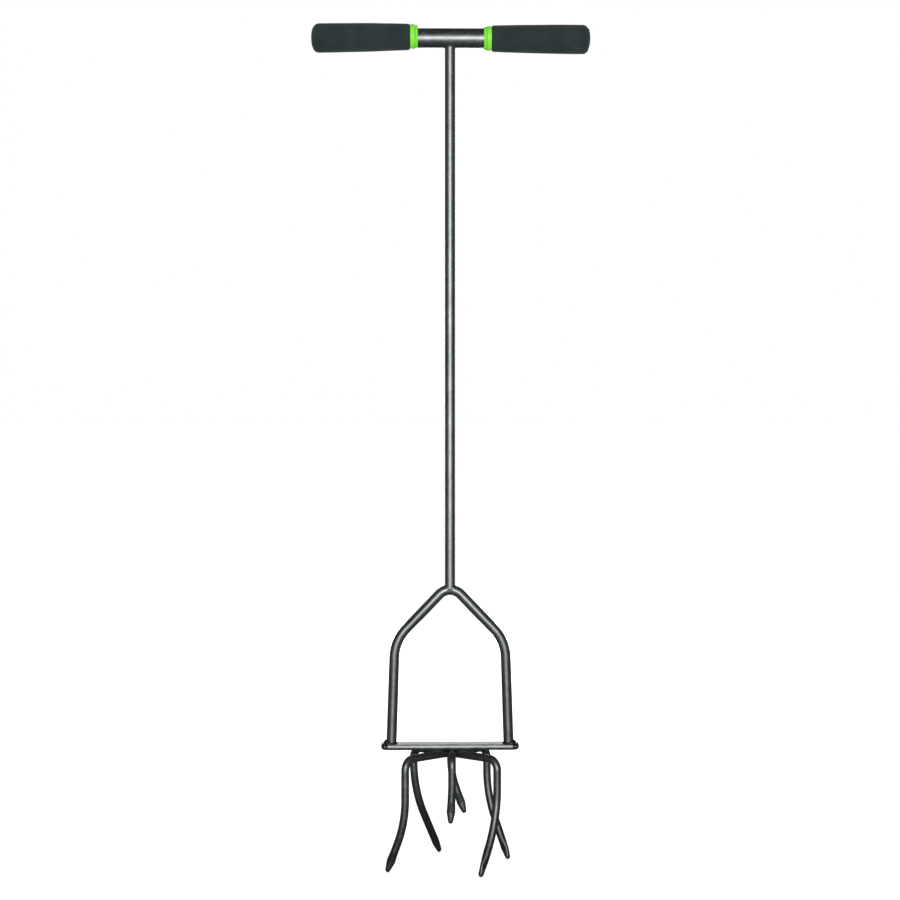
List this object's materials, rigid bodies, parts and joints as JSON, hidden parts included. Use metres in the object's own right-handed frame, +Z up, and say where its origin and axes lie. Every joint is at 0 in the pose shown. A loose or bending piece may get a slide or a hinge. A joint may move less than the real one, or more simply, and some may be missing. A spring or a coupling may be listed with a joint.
{
  "type": "hand twist tiller",
  "caption": "Upright hand tiller with a foam-gripped T handle, long shaft, foot hoop, step plate, and curved forged tines for twisting into soil.",
  "frame": {"origin": "on the ground under the shaft's axis, with the tool standing upright on its four long tines", "axes": "+Z up along the shaft, +X along the crossbar towards the right grip, -Y the front"},
  "size_m": [0.305, 0.1422, 0.9226],
  "materials": {
    "painted_steel": "dark grey hammertone enamel, semi-gloss",
    "weld_bead": "uneven weld metal under the same enamel",
    "grip_foam": "matte closed-cell foam",
    "collar_plastic": "lime green, satin gloss",
    "plug_plastic": "black moulded plastic"
  },
  "bodies": {
    "root": {"crossbar_tube": "painted_steel", "left_grip": "grip_foam", "right_grip": "grip_foam", "left_collar": "collar_plastic", "right_collar": "collar_plastic", "left_end_plug": "plug_plastic", "right_end_plug": "plug_plastic", "main_shaft": "painted_steel", "crossbar_weld": "weld_bead", "foot_hoop": "painted_steel", "hoop_apex_weld": "weld_bead", "foot_plate": "painted_steel", "left_leg_weld": "weld_bead", "right_leg_weld": "weld_bead", "front_tine_rod": "painted_steel", "rear_tine_rod": "painted_steel", "inner_front_tine": "painted_steel", "inner_rear_tine": "painted_steel", "hub_weld": "weld_bead"}
  },
  "joints": []
}
